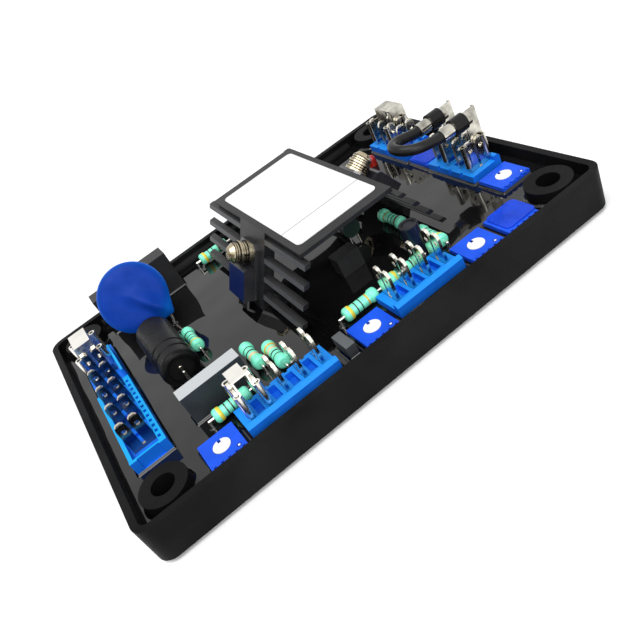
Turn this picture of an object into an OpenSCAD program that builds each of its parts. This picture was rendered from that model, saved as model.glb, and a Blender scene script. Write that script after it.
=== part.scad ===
// Automatic voltage regulator: a circuit board potted in a shallow tray, with blade terminals,
// trimmers, an arched heat sink and the parts that stand out of the resin.
// Origin: middle of the tray's underside. X runs along the long side, Y to the back, Z up.

/* [Tray] */
// Length of the tray along X
tray_l = 135; // [130:0.5:150]
// Width of the tray along Y
tray_w = 97.5; // [95:0.5:110]
// Height of the tray to its rim
tray_h = 12; // [11:0.5:16]
// Thickness of the side walls
tray_wall = 1.9; // [1.2:0.1:2.4]
// Thickness of the floor
tray_floor = 2; // [1.5:0.1:3]
// Outside radius of the tray's upright corners
tray_corner_r = 4; // [3:0.5:6]
// Bevel round the tray's lower edge
tray_bevel = 1.2; // [0.5:0.1:1.8]
// Distance from the tray's short sides to the middles of the fixing holes
hole_inset_x = 10; // [9:0.1:11]
// Distance from the tray's long sides to the middles of the fixing holes
hole_inset_y = 8.75; // [8:0.05:9.5]
// Diameter of the fixing holes
hole_d = 6; // [4:0.1:7]
// Outside diameter of the bosses round the fixing holes
boss_d = 12.2; // [9:0.1:12.6]
// Width of the ledge inside the back wall
ledge_w = 2; // [1:0.1:3]

/* [Board and resin] */
// Thickness of the circuit board
board_t = 1.6; // [1:0.1:2]
// Height of the posts under the board
post_h = 1.3; // [0.8:0.1:2]
// Diameter of the posts under the board
post_d = 5; // [3:0.5:6]
// Gap between the board and the tray's walls
board_gap = 1.2; // [0.6:0.1:2]
// Depth of the resin above the board
resin_depth = 3.6; // [3:0.1:4.2]
// Clearance of the resin round everything that it holds
resin_gap = 0.05; // [0.03:0.01:0.1]

/* [Heat sink] */
// Thickness of the top plate
plate_t = 1.1; // [0.8:0.1:1.4]
// Length of the top plate along X
plate_l = 28.4; // [26:0.1:30]
// Width of the top plate along Y
plate_w = 55.4; // [50:0.2:60]
// Height of the top plate above the resin
sink_rise = 18.5; // [18:0.1:20]
// Lean of the two end combs from upright
comb_lean = 31; // [28:0.5:33]
// Width of a comb's spine
spine_w = 16; // [14:0.5:20]
// Thickness of a comb's spine
spine_t = 3; // [2:0.1:3.2]
// Length of a slat from tip to tip along Y
slat_span = 62.5; // [56:0.1:68]
// Thickness of a slat
slat_t = 1.15; // [0.9:0.05:1.4]
// Depth of a slat along X
slat_depth = 1.7; // [1.4:0.1:3.4]
// Distance from one slat down to the next
slat_pitch = 4.35; // [4.1:0.05:4.45]
// Number of slats on each comb
slat_count = 4; // [2:1:4]
// Distance from the plate's top down to the first slat's top
slat_start = 1.6; // [1.5:0.05:1.8]
// Thickness of the label
label_t = 0.15; // [0.1:0.05:0.3]
// Margin of the plate round the label
label_margin = 3.6; // [2:0.1:6]

/* [Power devices] */
// Width of a device
device_w = 10.2; // [9:0.1:11]
// Height of a device's moulded body
device_h = 9.2; // [8:0.1:10]
// Thickness of a device's moulded body
device_t = 4.5; // [4:0.1:5]
// Height of a device's metal tab above its body
device_tab_h = 6.3; // [6:0.1:7]
// Thickness of a device's metal tab
device_tab_t = 1.3; // [1:0.1:1.6]
// Diameter of the screws
screw_d = 3; // [2.5:0.1:3.5]
// Diameter of a screw's head
screw_head_d = 5.6; // [4.8:0.1:6]
// Height of a screw's head
screw_head_h = 2.6; // [1.6:0.1:2.8]
// Thickness of a flat washer
flat_washer_t = 0.8; // [0.4:0.1:0.9]
// Outside diameter of a flat washer
flat_washer_d = 6.4; // [6:0.1:6.5]
// Thickness of a spring washer
spring_washer_t = 1.4; // [0.6:0.1:1.6]
// Outside diameter of a spring washer
spring_washer_d = 5.8; // [5:0.1:6]
// Thickness of a nut
nut_t = 2.4; // [1.8:0.1:2.6]
// Width of a nut across its corners
nut_d = 6.2; // [5.5:0.1:6.4]

/* [Terminals] */
// Width of a terminal block
block_w = 10; // [9.4:0.1:10.4]
// Height of a block's slotted top above the resin
block_rise = 2.5; // [2:0.1:3]
// Height of a block's long rim above its slotted top
rim_h = 1.5; // [0.8:0.1:2]
// Thickness of a block's long rim
rim_t = 1.7; // [1:0.1:1.8]
// Pitch of the tabs in the front and right blocks
tab_pitch = 5; // [4.8:0.05:5.1]
// Pitch of the tabs in the left block
left_pitch = 9.5; // [9:0.1:9.8]
// Height of the left block's floor above the resin
left_rise = 1.6; // [1.2:0.1:2.2]
// Length of the left block in front of its first pitch
left_end = 1.3; // [1:0.1:1.6]
// Thickness of the left block's thin walls
left_wall = 1; // [0.8:0.1:1.1]
// Width of one tab
tab_w = 2.8; // [2.4:0.1:3]
// Gap between the two tabs of a pair
tab_split = 0.8; // [0.6:0.1:1]
// Thickness of a tab
tab_t = 0.8; // [0.5:0.1:0.8]
// Height of a tab above its block
tab_h = 8.4; // [7.6:0.1:9]
// Diameter of the hole in a tab
tab_hole_d = 1.3; // [1:0.1:1.6]
// Thickness of the sheet of links and receptacles
link_t = 0.4; // [0.3:0.05:0.5]
// Inside radius of a receptacle's rolled edge
roll_r = 0.6; // [0.55:0.05:0.7]
// Height of a link's bridge above the tab tips
bridge_rise = 2.6; // [1:0.1:3]
// Width of a link's bridge
bridge_w = 5; // [4:0.1:6]

/* [Jumper lead] */
// Diameter of the insulated wire
wire_d = 2.9; // [2.4:0.1:3.1]
// Outside diameter of a crimped barrel
barrel_d = 3.7; // [3.5:0.1:4]
// Outside diameter of a sleeve
sleeve_d = 4.8; // [4.5:0.1:5.2]
// Length of a sleeve
sleeve_l = 4; // [3.5:0.1:4.5]
// Length of a crimped barrel
barrel_l = 9.4; // [9:0.1:10]
// Width of a flag receptacle's upright plate
flag_w = 4.2; // [4:0.1:5]
// Height of the lead's axis above the tab tips
lead_rise = 6; // [5.5:0.1:6.5]
// Length of the straight wire between bend and barrel
lead_straight = 4.6; // [4:0.1:6]
// Upward tilt of the wire's loop
lead_tilt = 12; // [6:0.5:14]

/* [Trimmers] */
// Side of a trimmer's square body
trimmer_w = 9.5; // [9:0.1:9.6]
// Height of a trimmer above the resin
trimmer_rise = 1.6; // [1.2:0.1:2.4]
// Diameter of a trimmer's rotor
rotor_d = 4.4; // [3.5:0.1:5]
// Height of a trimmer's rotor
rotor_h = 1.6; // [1.2:0.1:2]
// Running clearance of a rotor in its recess, on the radius
rotor_gap = 0.08; // [0.05:0.01:0.1]

/* [Board parts] */
// Length of a tall film capacitor
tall_cap_l = 25.6; // [24:0.1:26]
// Depth of a tall film capacitor
tall_cap_d = 6; // [5:0.1:7]
// Height of a tall film capacitor above the resin
tall_cap_h = 12.7; // [10:0.1:14]
// Length of the low film capacitor
low_cap_l = 17; // [15:0.1:17.5]
// Depth of the low film capacitor
low_cap_d = 4.4; // [4:0.1:5]
// Height of the low film capacitor above the resin
low_cap_h = 8.7; // [7:0.1:10]
// Diameter of the axial capacitor
axial_d = 10.4; // [9:0.1:10.6]
// Length of the axial capacitor
axial_l = 24.6; // [20:0.1:26]
// Diameter of the varistor's disc
varistor_d = 20.6; // [18:0.1:21]
// Thickness of the varistor's disc
varistor_t = 4.8; // [4:0.1:5]
// Height of the varistor's middle above the resin
varistor_rise = 12; // [11:0.1:13]
// Lean of the varistor from upright
varistor_lean = 34; // [28:0.5:36]
// Diameter of a resistor's body between its end swells
resistor_d = 3; // [2.4:0.1:3.2]
// Diameter of a resistor's end swells
resistor_end_d = 3.7; // [3.3:0.1:3.8]
// Length of a resistor's body
resistor_l = 10.2; // [9:0.1:10.4]
// Length of a resistor's end swells
resistor_end_l = 2.6; // [2:0.1:3]
// Height of a resistor's axis above the resin
resistor_rise = 2; // [1.9:0.1:2.4]
// Distance from a resistor's body to its legs
resistor_foot = 1.4; // [1:0.1:1.6]
// Diameter of the parts' wire leads
lead_d = 0.8; // [0.6:0.05:1]
// Diameter of the small electrolytic capacitor
electrolytic_d = 5; // [4:0.1:5.2]
// Height of the small electrolytic capacitor above the resin
electrolytic_h = 9.5; // [8:0.1:11]
// Diameter of the indicator lamp
lamp_d = 3; // [2.5:0.1:4]

/* [Hidden] */
$fn = 48;

// Levels above the tray's underside
board_z = tray_floor + post_h;
board_top = board_z + board_t;
resin_top = board_top + resin_depth;
block_top = resin_top + block_rise;
left_floor = resin_top + left_rise;
tab_top = block_top + tab_h;
sink_top = resin_top + sink_rise;
trimmer_top = resin_top + trimmer_rise;
lead_z = tab_top + lead_rise;

// Room inside the tray and between its bosses
inner_l = tray_l - 2 * tray_wall;
inner_w = tray_w - 2 * tray_wall;
hole_spacing_x = tray_l - 2 * hole_inset_x;
hole_spacing_y = tray_w - 2 * hole_inset_y;
room_x = hole_spacing_x - boss_d;
room_y = hole_spacing_y - boss_d;

// Size of the tray that the loose places below were measured in, and a place moved with the tray
drawn_l = 135;
drawn_w = 97.5;
function moved_x(x) = x * tray_l / drawn_l;
function moved_y(y) = y * tray_w / drawn_w;

// Rows and columns along the walls
left_block_x = -tray_l / 2 + 10.7;
right_row_x = tray_l / 2 - 10.7;
front_row_y = -tray_w / 2 + 8.9;
front_block_y = -tray_w / 2 + 9.75;
front_right_step = 0.9;

// Heat sink
sink_x = moved_x(12.1);
sink_y = moved_y(4.5);
slat_shift = 0.7;
slat_back = sink_y + slat_shift + slat_span / 2;

// Tabs in each block, and the lengths of the blocks
left_block_n = 6;
front_left_n = 5;
front_right_n = 4;
right_block_n = 4;
rear_block_n = 4;
front_left_l = front_left_n * tab_pitch;
front_right_l = front_right_n * tab_pitch;
least_gap = 0.15;
side_n = right_block_n + rear_block_n;
side_pitch = min(tab_pitch, (room_y - 2 * trimmer_w - 5 * least_gap) / side_n);
right_l = right_block_n * side_pitch;
rear_l = rear_block_n * side_pitch;
long_pitch = min(left_pitch, (room_y - left_end - 2 * least_gap) / left_block_n);
left_l = left_block_n * long_pitch;

// Left block between its bosses, a little to the back
left_block_y = left_end / 2 + 0.121 * (room_y - left_l - left_end);

// Front row from left to right; the spare room is shared out between its parts
small_cap_size = [2.5, 6.7, 3.7];
front_spare = room_x - 4 * trimmer_w - small_cap_size.x - front_left_l - front_right_l;
volt_x = -room_x / 2 + 0.217 * front_spare + trimmer_w / 2;
front_left_x = volt_x + trimmer_w / 2 + 0.095 * front_spare + front_left_l / 2;
small_cap_x = front_left_x + front_left_l / 2 + 0.165 * front_spare + small_cap_size.x / 2;
stability_x = small_cap_x + small_cap_size.x / 2 + 0.098 * front_spare + trimmer_w / 2;
front_right_x = stability_x + trimmer_w / 2 + 0.084 * front_spare + front_right_l / 2;
droop_x = front_right_x + front_right_l / 2 + 0.101 * front_spare + trimmer_w / 2;
sealed_front_x = droop_x + trimmer_w + 0.104 * front_spare;

// Right column from front to back, shared out in the same way
side_spare = room_y - 2 * trimmer_w - right_l - rear_l;
trim_y = -room_y / 2 + 0.54 * side_spare + trimmer_w / 2;
right_block_y = trim_y + trimmer_w / 2 + 0.176 * side_spare + right_l / 2;
sealed_rear_y = right_block_y + right_l / 2 + 0.08 * side_spare + trimmer_w / 2;
rear_block_y = sealed_rear_y + trimmer_w / 2 + 0.16 * side_spare + rear_l / 2;

// Places of the trimmers; the first four have an open rotor, the last two are sealed
trimmer_places = [
    [volt_x, front_row_y],
    [stability_x, front_row_y],
    [droop_x, front_row_y],
    [right_row_x, trim_y],
    [sealed_front_x, front_row_y],
    [right_row_x, sealed_rear_y]
];
open_trimmers = 4;

// Back faces of the front row's parts, which the parts behind them keep clear of
trimmer_back = front_row_y + trimmer_w / 2;
front_left_back = front_block_y + block_w / 2;
front_right_back = front_left_back + front_right_step;

// Resistors: middle x, middle y, turn about Z
resistor_half_l = resistor_l / 2 + resistor_foot + lead_d / 2;
resistor_r = resistor_end_d / 2;
front_resistor_y = front_left_back + 1.35 + resistor_r;
front_pair_y = front_right_back + 0.25 + resistor_r;
front_pair_x = moved_x(10.2);
middle_b_y = front_left_back + 1.4 + resistor_half_l;
right_a_y = trimmer_back + 1.6 + resistor_half_l;
right_b_top = sink_rise - resistor_rise - resistor_r;
spine_inside = plate_l / 2 + right_b_top * tan(comb_lean) - spine_t / cos(comb_lean);
right_b_x = sink_x + spine_inside - 0.35 - resistor_r;
resistor_places = [
    [moved_x(-32.6), moved_y(3.4), 90],
    [moved_x(-24.2), middle_b_y + 5.5, 90],
    [moved_x(-20), middle_b_y, 90],
    [moved_x(-35.6), front_resistor_y, 0],
    [front_pair_x - resistor_half_l - 0.2, front_pair_y, 0],
    [moved_x(29.6), right_a_y, 90],
    [right_b_x, right_a_y + 17.4, 90],
    [moved_x(-9.6), slat_back + 0.65 + resistor_r, 0],
    [front_pair_x + resistor_half_l + 0.2, front_pair_y, 0]
];

// Board parts: middle x and y
tall_cap_place = [-room_x / 2 + 2.8 + tall_cap_l / 2, tray_w / 2 - 9.65];
low_cap_place = [moved_x(-36), front_resistor_y + resistor_r + 2.45 + low_cap_d / 2];
small_cap_place = [small_cap_x, front_row_y + 0.15];
axial_place = [moved_x(-39.7), left_block_y - 0.7];
axial_z = resin_top + axial_d / 2 + 0.1;
axial_lip = 1.2;
axial_foot = 1.2;
axial_grooves = [4.6, 8.2];
varistor_place = [moved_x(-38.3), moved_y(25)];
varistor_z = resin_top + varistor_rise;
varistor_turn = -12;
electrolytic_place = [moved_x(24.6), front_right_back + 3.6 + electrolytic_d / 2];
disc_place = [moved_x(19.4), moved_y(-3.4)];
disc_d = 5.4;
rectifier_place = [moved_x(11.2), moved_y(-13)];
rectifier_size = [7, 4.6, 5.6];
lamp_place = [right_row_x - 10, moved_y(26)];

// Names of the sub-parts

// Shared shapes

// Rounded rectangle, centred
module rounded_rect(l, w, r) {
    square([l - 2 * r, w], center = true);
    square([l, w - 2 * r], center = true);
    for (x = [-1, 1], y = [-1, 1])
        translate([x * (l / 2 - r), y * (w / 2 - r)]) circle(r);
}

// Rod along z with rounded shoulders, centred
module rounded_rod(l, d, shoulder) {
    rotate_extrude() {
        translate([0, -l / 2]) square([d / 2 - shoulder, l]);
        translate([0, -l / 2 + shoulder]) square([d / 2, l - 2 * shoulder]);
        for (side = [-1, 1])
            translate([d / 2 - shoulder, side * (l / 2 - shoulder)]) circle(shoulder);
    }
}

// Box standing on z = 0, centred in x and y
module standing_box(l, w, h) {
    translate([-l / 2, -w / 2, 0]) cube([l, w, h]);
}

// Places of the four fixing holes
module at_holes() {
    for (x = [-1, 1], y = [-1, 1])
        translate([x * hole_spacing_x / 2, y * hole_spacing_y / 2, 0]) children();
}

// Posts under the board: two at the ends and two in the middle
module posts(gap) {
    for (x = [-1, 1]) {
        translate([x * hole_spacing_x / 2, 0, tray_floor])
            cylinder(h = post_h, d = post_d + 2 * gap);
        translate([0, x * hole_spacing_y / 2, tray_floor])
            cylinder(h = post_h, d = post_d + 2 * gap);
    }
}

// Frame of a comb's outer face: x to the front, y up the comb, z out of it, origin at the plate's edge.
// side is -1 for the left comb and 1 for the right one.
module on_comb(side) {
    translate([sink_x, sink_y, sink_top])
        mirror([side > 0 ? 1 : 0, 0, 0])
        translate([-plate_l / 2, 0, 0])
        rotate([0, comb_lean, 0])
        rotate([90, 0, -90])
        children();
}

// Way down the comb's face to a point that lies this far below the plate's top
function down_comb(drop) = drop / cos(comb_lean);

// Ends of the spine, the power device and its screw, up the comb's face
spine_l = down_comb(sink_top - board_top);
device_low = -down_comb(sink_rise - 1.6);
screw_at = device_low + device_h + device_tab_h * 0.52;

// Tray with its bosses, ledge and posts

// Lower edge of the tray: cones at the corners and bevelled slabs between them
module tray_foot() {
    x = tray_l / 2;
    y = tray_w / 2;
    r = tray_corner_r;
    b = tray_bevel;
    for (i = [-1, 1], j = [-1, 1])
        translate([i * (x - r), j * (y - r), 0]) cylinder(h = b, r1 = r - b, r2 = r);
    translate([0, y - r, 0]) rotate([90, 0, 0]) linear_extrude(2 * (y - r))
        polygon([[-x + b, 0], [x - b, 0], [x, b], [-x, b]]);
    translate([-x + r, 0, 0]) rotate([90, 0, 90]) linear_extrude(2 * (x - r))
        polygon([[-y + b, 0], [y - b, 0], [y, b], [-y, b]]);
}

module tray_outside() {
    tray_foot();
    translate([0, 0, tray_bevel])
        linear_extrude(tray_h - tray_bevel)
        rounded_rect(tray_l, tray_w, tray_corner_r);
}

module cavity(gap) {
    translate([0, 0, tray_floor + gap])
        linear_extrude(tray_h)
        rounded_rect(inner_l - 2 * gap, inner_w - 2 * gap, tray_corner_r - tray_wall);
}

module ledge(gap) {
    translate([0, inner_w / 2 - gap, resin_top])
        rotate([0, 90, 0])
        cylinder(h = hole_spacing_x - boss_d - 2, r = ledge_w, center = true);
}

module tray() {
    color("#1c1c1f") difference() {
        union() {
            difference() {
                tray_outside();
                cavity(0);
            }
            at_holes() cylinder(h = tray_h, d = boss_d);
            posts(0);
            intersection() {
                ledge(0);
                cavity(0);
            }
        }
        at_holes() translate([0, 0, -1]) cylinder(h = tray_h + 2, d = hole_d);
    }
}

// Circuit board, with a bite at each boss
module circuit_board() {
    color("#2c4a34") difference() {
        translate([0, 0, board_z])
            standing_box(inner_l - 2 * board_gap, inner_w - 2 * board_gap, board_t);
        at_holes() cylinder(h = tray_h, d = boss_d + 1);
    }
}

// Resin: fills the tray round the board, and leaves room for each thing that stands in it
module potting_resin() {
    color("#26262a") difference() {
        intersection() {
            cavity(resin_gap);
            translate([0, 0, tray_floor]) standing_box(tray_l, tray_w, resin_top - tray_floor);
        }
        at_holes() cylinder(h = tray_h, d = boss_d + 2 * resin_gap);
        posts(resin_gap);
        ledge(resin_gap);
        translate([0, 0, board_z - resin_gap])
            standing_box(
                inner_l - 2 * board_gap + 2 * resin_gap,
                inner_w - 2 * board_gap + 2 * resin_gap,
                board_t + 2 * resin_gap
            );
        feet(resin_gap);
    }
}

// What stands in the resin, grown by the gap
module feet(gap) {
    for (side = [-1, 1]) {
        on_comb(side) translate([0, 0, -spine_t - gap]) spine(spine_t + 2 * gap, gap);
        on_comb(side) device_legs(gap);
    }
    all_blocks() block_body($block_n, $block_pitch, gap);
    at_block("left") left_body(gap);
    for (p = trimmer_places) translate(p) trimmer_body(gap);
    translate(tall_cap_place) box_capacitor(tall_cap_l, tall_cap_d, tall_cap_h, gap);
    translate(low_cap_place) box_capacitor(low_cap_l, low_cap_d, low_cap_h, gap);
    translate(small_cap_place)
        box_capacitor(small_cap_size.x, small_cap_size.y, small_cap_size.z, gap);
    translate(rectifier_place)
        box_capacitor(rectifier_size.x, rectifier_size.y, rectifier_size.z, gap);
    for (p = resistor_places) at_resistor(p) resistor_legs(gap);
    axial_leads(gap);
    varistor_leads(gap);
    translate(electrolytic_place) electrolytic_body(gap);
    disc_leads(gap);
    translate(lamp_place) lamp_body(gap);
}

// Heat sink: a thin top plate on two leaning combs, each a spine with slats to the front and the back

module spine(thickness, gap) {
    translate([-spine_w / 2 - gap, -spine_l - gap, 0])
        cube([spine_w + 2 * gap, spine_l + gap, thickness]);
}

// Cross-section of the left comb's slats: level above and below, sawn along the lean at the outer end
module slat_sections() {
    slope = tan(comb_lean);
    for (i = [0 : slat_count - 1]) {
        high = slat_start + i * slat_pitch;
        low = high + slat_t;
        polygon([
            [-high * slope, -high],
            [-high * slope + slat_depth, -high],
            [-low * slope + slat_depth, -low],
            [-low * slope, -low]
        ]);
    }
}

module comb_slats(side) {
    translate([sink_x, sink_y + slat_shift, sink_top])
        mirror([side > 0 ? 1 : 0, 0, 0])
        translate([-plate_l / 2, slat_span / 2, 0])
        rotate([90, 0, 0])
        linear_extrude(slat_span)
        slat_sections();
}

module heat_sink() {
    color("#2b2b2e") difference() {
        union() {
            translate([sink_x, sink_y, sink_top - plate_t]) standing_box(plate_l, plate_w, plate_t);
            for (side = [-1, 1]) {
                comb_slats(side);
                on_comb(side) translate([0, 0, -spine_t]) spine(spine_t, 0);
            }
        }
        at_screws() translate([0, 0, -spine_t - 1]) cylinder(h = spine_t + 2, d = screw_d + 0.4);
        translate([sink_x, sink_y, board_top - 5]) standing_box(4 * plate_l, spine_w + 1, 5);
    }
}

module heat_sink_label() {
    color("white")
        translate([sink_x, sink_y, sink_top])
        linear_extrude(label_t)
        rounded_rect(plate_l - label_margin, plate_w - 2 * label_margin, 1.5);
}

// Power devices, each clamped on a spine by a screw, washers and a nut

module device_legs(gap) {
    leg_w = 0.9;
    leg_t = 0.6;
    leg_pitch = 2.54;
    leg_l = down_comb(sink_top - board_top) + device_low + device_tab_t * tan(comb_lean);
    for (i = [-1 : 1])
        translate([i * leg_pitch - leg_w / 2 - gap, device_low - leg_l - gap, device_tab_t + leg_t - gap])
            cube([leg_w + 2 * gap, leg_l + 2 * gap, leg_t + 2 * gap]);
}

module power_device(side) {
    body_chamfer = 0.6;
    on_comb(side) {
        color("#9aa0a6") difference() {
            translate([-device_w / 2, device_low, 0])
                cube([device_w, device_h + device_tab_h, device_tab_t]);
            translate([0, screw_at, -1]) cylinder(h = device_tab_t + 2, d = screw_d + 0.6);
            for (x = [-1, 1])
                translate([x * device_w / 2, device_low + device_h + device_tab_h, device_tab_t / 2])
                    rotate([0, 0, 45]) cube([2, 2, device_tab_t + 1], center = true);
        }
        color("#15151a") translate([-device_w / 2, device_low, 0]) difference() {
            translate([0, 0, device_tab_t]) cube([device_w, device_h, device_t - device_tab_t]);
            translate([device_w / 2, device_h, device_t])
                rotate([45, 0, 0])
                cube([device_w + 2, 2 * body_chamfer, 2 * body_chamfer], center = true);
        }
        color("silver") device_legs(0);
    }
}

module left_power_device() {
    power_device(-1);
}

module right_power_device() {
    power_device(1);
}

// Heights of the washers and the head above the spine
washer_1_z = device_tab_t;
spring_z = washer_1_z + flat_washer_t;
washer_2_z = spring_z + spring_washer_t;
head_z = washer_2_z + flat_washer_t;

module at_screws() {
    for (side = [-1, 1]) on_comb(side) translate([0, screw_at, 0]) children();
}

module device_screws() {
    slot_w = 0.8;
    slot_d = 0.9;
    color("#c9b27a") at_screws() difference() {
        union() {
            translate([0, 0, head_z]) cylinder(h = screw_head_h * 0.5, d = screw_head_d);
            translate([0, 0, head_z + screw_head_h * 0.5])
                cylinder(h = screw_head_h * 0.5, d1 = screw_head_d, d2 = screw_head_d * 0.6);
            translate([0, 0, -spine_t - nut_t - 0.6])
                cylinder(h = head_z + spine_t + nut_t + 0.6 + 0.01, d = screw_d);
        }
        translate([0, 0, head_z + screw_head_h])
            cube([screw_head_d + 1, slot_w, 2 * slot_d], center = true);
    }
}

module washer(d, t) {
    difference() {
        cylinder(h = t, d = d);
        translate([0, 0, -1]) cylinder(h = t + 2, d = screw_d + 0.4);
    }
}

module spring_washers() {
    split_w = 0.5;
    color("#c2a968") at_screws() translate([0, 0, spring_z]) difference() {
        washer(spring_washer_d, spring_washer_t);
        translate([0, -split_w / 2, -1]) cube([spring_washer_d, split_w, spring_washer_t + 2]);
    }
}

module flat_washers() {
    color("#cbb98a") at_screws() for (z = [washer_1_z, washer_2_z])
        translate([0, 0, z]) washer(flat_washer_d, flat_washer_t);
}

module device_nuts() {
    color("#c9b27a") at_screws() translate([0, 0, -spine_t - nut_t]) difference() {
        cylinder(h = nut_t, d = nut_d, $fn = 6);
        translate([0, 0, -1]) cylinder(h = nut_t + 2, d = screw_d + 0.1);
    }
}

// Terminal blocks: x runs along the block, y across it with the long rim at -y

function tab_at(i, n, pitch) = (i - (n - 1) / 2) * pitch;
tab_pair_w = 2 * tab_w + tab_split;
front_row_shift = 1.2;
slot_gap = 0.06;

module at_block(name) {
    if (name == "left")
        translate([left_block_x, left_block_y, 0]) rotate([0, 0, 90]) children();
    if (name == "front_left") translate([front_left_x, front_block_y, 0]) children();
    if (name == "front_right")
        translate([front_right_x, front_block_y + front_right_step, 0]) children();
    if (name == "right")
        translate([right_row_x, right_block_y, 0]) rotate([0, 0, 90]) children();
    if (name == "rear")
        translate([right_row_x, rear_block_y, 0]) rotate([0, 0, 90]) children();
}

module all_blocks() {
    $block_pitch = tab_pitch;
    at_block("left") let($block_n = left_block_n, $block_pitch = long_pitch) children();
    at_block("front_left") let($block_n = front_left_n) children();
    at_block("front_right") let($block_n = front_right_n) children();
    at_block("right") let($block_n = right_block_n, $block_pitch = side_pitch) children();
    at_block("rear") let($block_n = rear_block_n, $block_pitch = side_pitch) children();
}

module block_body(n, pitch, gap) {
    translate([0, 0, board_top - gap])
        standing_box(n * pitch + 2 * gap, block_w + 2 * gap, block_top - board_top + gap);
}

// Long rim with a bevel on its outer and inner upper edges
module block_rim(l) {
    bevel = 0.6;
    translate([l / 2, -block_w / 2, block_top - 0.01]) rotate([90, 0, -90]) linear_extrude(l) polygon([
        [0, 0],
        [0, rim_h - bevel],
        [-bevel, rim_h],
        [-rim_t + bevel / 2, rim_h],
        [-rim_t, rim_h - bevel / 2],
        [-rim_t, 0]
    ]);
}

// row is the y of the row of tabs
module terminal_block(n, pitch, row) {
    l = n * pitch;
    difference() {
        union() {
            block_body(n, pitch, 0);
            block_rim(l);
        }
        block_cuts(n, pitch, row);
    }
}

// Slots for the tabs, pockets between them and small bites along the back edge
module block_cuts(n, pitch, row) {
    pocket_l = min(pitch - tab_t - 2.2, 3);
    pocket_w = tab_pair_w - 1.4;
    pocket_d = 1.8;
    tooth_w = 0.9;
    for (i = [0 : n - 1]) translate([tab_at(i, n, pitch), row, board_top - 1])
        standing_box(tab_t + 2 * slot_gap, tab_pair_w + 2 * slot_gap, block_top - board_top + 2);
    for (i = [0 : n - 2]) translate([tab_at(i, n, pitch) + pitch / 2, 0, block_top - pocket_d]) {
        translate([0, row, 0]) standing_box(pocket_l, pocket_w, pocket_d + 1);
        translate([0, block_w / 2, pocket_d / 2]) standing_box(tooth_w, 1, pocket_d);
    }
}

module tab_outline() {
    tip = 0.7;
    difference() {
        polygon([
            [-tab_w / 2, 0],
            [tab_w / 2, 0],
            [tab_w / 2, tab_h - 2 * tip],
            [tab_w / 2 - 0.35 * tip, tab_h - 0.8 * tip],
            [tab_w / 2 - 1.2 * tip, tab_h],
            [-tab_w / 2 + 1.2 * tip, tab_h],
            [-tab_w / 2 + 0.35 * tip, tab_h - 0.8 * tip],
            [-tab_w / 2, tab_h - 2 * tip]
        ]);
        translate([0, tab_h - 2.6]) circle(d = tab_hole_d);
    }
}

// One forked terminal: a strip down to the board and two tabs side by side
module forked_tab() {
    translate([0, 0, board_top]) standing_box(tab_t, tab_pair_w, block_top - board_top);
    for (side = [-1, 1])
        translate([-tab_t / 2, side * (tab_w + tab_split) / 2, block_top])
            rotate([90, 0, 90]) linear_extrude(tab_t) tab_outline();
}

module terminal_tabs(n, pitch, row) {
    for (i = [0 : n - 1]) translate([tab_at(i, n, pitch), row, 0]) forked_tab();
}

block_blue = "#1f86f2";
tab_metal = "#c8c2ae";

// The left block is a trough: a low floor, a thin wall round its front half, windows in the wall's
// thick side and a plain guard behind that side
module left_body(gap) {
    translate([-left_end / 2, 0, board_top - gap])
        standing_box(left_l + left_end + 2 * gap, block_w + 2 * gap, left_floor - board_top + gap);
}

module left_terminal_block() {
    front = -left_l / 2 - left_end;
    wall_back = 0.4 * long_pitch;
    wall_h = block_top + rim_h - left_floor;
    window = [1.1, 0.8, 1.2];
    window_pitch = long_pitch / 4;
    window_n = floor((wall_back + left_l / 2) / window_pitch);
    guard_l = 1.7 * long_pitch;
    guard_h = 2.4;
    guard_t = rim_t * 0.4;
    recess = [0.4, block_w - 4];
    color(block_blue) at_block("left") difference() {
        union() {
            left_body(0);
            translate([front, -block_w / 2, left_floor - 0.01]) {
                cube([left_wall, block_w, wall_h + 0.01]);
                cube([wall_back - front, rim_t, wall_h + 0.01]);
                translate([0, block_w - left_wall, 0]) cube([wall_back - front, left_wall, wall_h - 0.4]);
            }
            translate([wall_back - 0.01, -block_w / 2, left_floor - 0.01])
                cube([guard_l, guard_t, wall_h + guard_h]);
        }
        block_cuts(left_block_n, long_pitch, 0);
        for (i = [0 : window_n - 1])
            translate([(i + 0.5) * window_pitch - left_l / 2, -block_w / 2 + rim_t * 0.6, 0])
                translate([0, 0, left_floor + wall_h - window.z])
                standing_box(window.x, window.y, window.z + 1);
        translate([front, 0, left_floor - 1]) standing_box(2 * recess.x, recess.y, wall_h + 2);
    }
}

module left_terminal_tabs() {
    color(tab_metal) at_block("left") terminal_tabs(left_block_n, long_pitch, 0);
}

module front_left_terminal_block() {
    color(block_blue) at_block("front_left") terminal_block(front_left_n, tab_pitch, front_row_shift);
}

module front_left_terminal_tabs() {
    color(tab_metal) at_block("front_left") terminal_tabs(front_left_n, tab_pitch, front_row_shift);
}

module front_right_terminal_block() {
    color(block_blue) at_block("front_right") terminal_block(front_right_n, tab_pitch, front_row_shift);
}

module front_right_terminal_tabs() {
    color(tab_metal) at_block("front_right") terminal_tabs(front_right_n, tab_pitch, front_row_shift);
}

module right_terminal_block() {
    color(block_blue) at_block("right") terminal_block(right_block_n, side_pitch, 0);
}

module right_terminal_tabs() {
    color(tab_metal) at_block("right") terminal_tabs(right_block_n, side_pitch, 0);
}

module rear_terminal_block() {
    color(block_blue) at_block("rear") terminal_block(rear_block_n, side_pitch, 0);
}

module rear_terminal_tabs() {
    color(tab_metal) at_block("rear") terminal_tabs(rear_block_n, side_pitch, 0);
}

// Receptacles: a flat back on one face of the tabs, with both edges rolled round them

receptacle_low = rim_h + 0.1;
roll_l = tab_h - receptacle_low - 0.4;
roll_y = tab_pair_w / 2 + 0.05;
back_x = tab_t / 2 + 0.12;

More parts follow.
